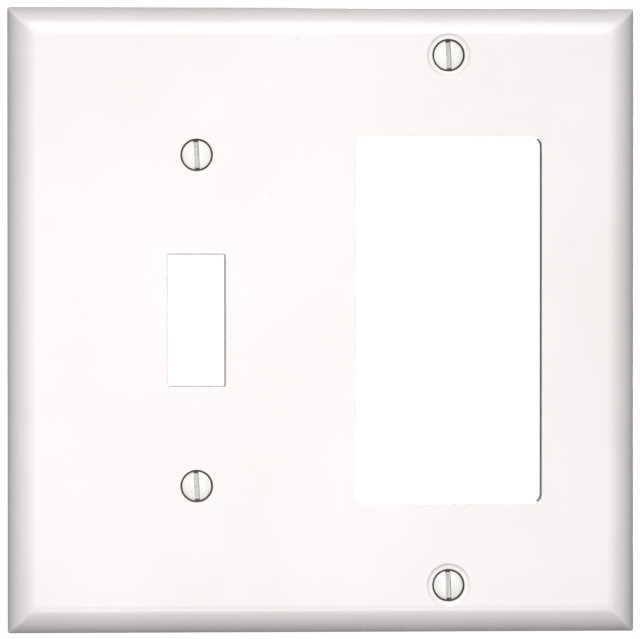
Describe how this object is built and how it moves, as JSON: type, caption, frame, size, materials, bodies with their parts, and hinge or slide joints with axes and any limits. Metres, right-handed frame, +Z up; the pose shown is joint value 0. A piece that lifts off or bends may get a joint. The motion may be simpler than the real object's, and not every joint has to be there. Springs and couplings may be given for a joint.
{
  "type": "combination wall plate",
  "caption": "Flat bevelled wall plate with a small toggle opening beside a large rocker opening, held by slotted oval-head screws; hollow ribbed back.",
  "frame": {"origin": "centre of the plate on the wall plane, which is the plane of its back rim", "axes": "+X to the right seen from the front, +Z up, +Y into the wall, so the front faces -Y"},
  "size_m": [0.1148, 0.0137, 0.1142],
  "materials": {
    "white_plastic": "smooth white moulding",
    "painted_screw": "white paint over zinc-plated steel"
  },
  "bodies": {
    "plate": {"wall_plate": "white_plastic"},
    "upper_toggle_screw": {"upper_toggle_screw": "painted_screw"},
    "lower_toggle_screw": {"lower_toggle_screw": "painted_screw"},
    "upper_rocker_screw": {"upper_rocker_screw": "painted_screw"},
    "lower_rocker_screw": {"lower_rocker_screw": "painted_screw"}
  },
  "joints": [
    {"name": "upper_toggle_screw_slide", "type": "slide", "parent": "plate", "child": "upper_toggle_screw", "axis": [0, -1, 0], "range_m": [0, 0.014]},
    {"name": "lower_toggle_screw_slide", "type": "slide", "parent": "plate", "child": "lower_toggle_screw", "axis": [0, -1, 0], "range_m": [0, 0.014]},
    {"name": "upper_rocker_screw_slide", "type": "slide", "parent": "plate", "child": "upper_rocker_screw", "axis": [0, -1, 0], "range_m": [0, 0.014]},
    {"name": "lower_rocker_screw_slide", "type": "slide", "parent": "plate", "child": "lower_rocker_screw", "axis": [0, -1, 0], "range_m": [0, 0.014]}
  ]
}
